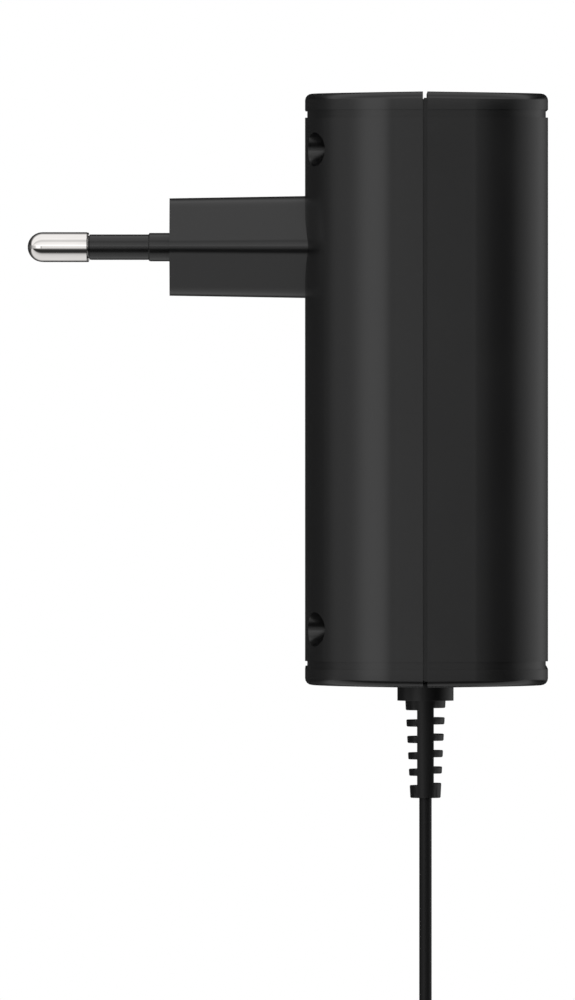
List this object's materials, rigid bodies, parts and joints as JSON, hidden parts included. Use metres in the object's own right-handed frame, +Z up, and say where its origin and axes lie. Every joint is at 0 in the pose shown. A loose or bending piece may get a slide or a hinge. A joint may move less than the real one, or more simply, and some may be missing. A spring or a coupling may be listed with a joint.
{
  "type": "power adapter",
  "caption": "Wall-plug power adapter: upright box housing on a flat two-pin plug, with a slotted strain relief and a thin flat cord to a barrel plug.",
  "frame": {"origin": "middle of the plug's engagement face, between the two pins", "axes": "-X along the pins, out of the plug and into the wall socket; +Z up along the housing; the cord hangs down along -Z"},
  "size_m": [0.0699, 0.054, 0.2554],
  "materials": {
    "housing": "fine satin",
    "pin_sleeve": "satin",
    "pin": "nickel plated, satin bright",
    "screw": "zinc plated",
    "pin_carrier": "matte",
    "board": "solder-resist satin",
    "package": "moulded matte",
    "blue_coating": "dipped coating",
    "film_case": "moulded gloss",
    "can_sleeve": "shrink film",
    "copper": "enamelled copper wire",
    "heat_sink": "bare sheet",
    "ferrite": "sintered matte",
    "winding_tape": "polyester tape",
    "lead_brown": "soft insulation",
    "lead_blue": "soft insulation",
    "lead_red": "soft insulation",
    "lead_black": "soft insulation",
    "cord": "soft satin",
    "tie": "hook-and-loop strap"
  },
  "bodies": {
    "root": {"front_shell": "housing", "plug_block": "housing", "rear_shell": "housing", "screw_top_left": "screw", "screw_top_right": "screw", "screw_bottom_left": "screw", "screw_bottom_right": "screw", "pin_left": "pin", "pin_right": "pin", "pin_sleeve_left": "pin_sleeve", "pin_sleeve_right": "pin_sleeve", "pin_carrier": "pin_carrier", "circuit_board": "board", "fusible_resistor": "blue_coating", "input_choke": "copper", "x_capacitor": "film_case", "bridge_rectifier": "package", "bulk_capacitor_left": "can_sleeve", "bulk_capacitor_right": "can_sleeve", "transformer_base": "package", "transformer_core": "ferrite", "transformer_winding": "winding_tape", "switching_transistor": "package", "heat_sink": "heat_sink", "control_chip": "package", "optocoupler": "package", "y_capacitor": "blue_coating", "output_diode": "package", "output_capacitor_left": "can_sleeve", "output_capacitor_right": "can_sleeve", "output_choke": "copper", "mains_lead_left": "lead_brown", "mains_lead_right": "lead_blue", "output_lead_plus": "lead_red", "output_lead_minus": "lead_black", "strain_relief": "cord", "cord_lead": "cord", "cord_hank": "cord", "cord_tail": "cord", "cord_tie": "tie", "output_plug_grip": "cord", "output_plug_barrel": "pin", "output_plug_insulator": "package"}
  },
  "joints": []
}
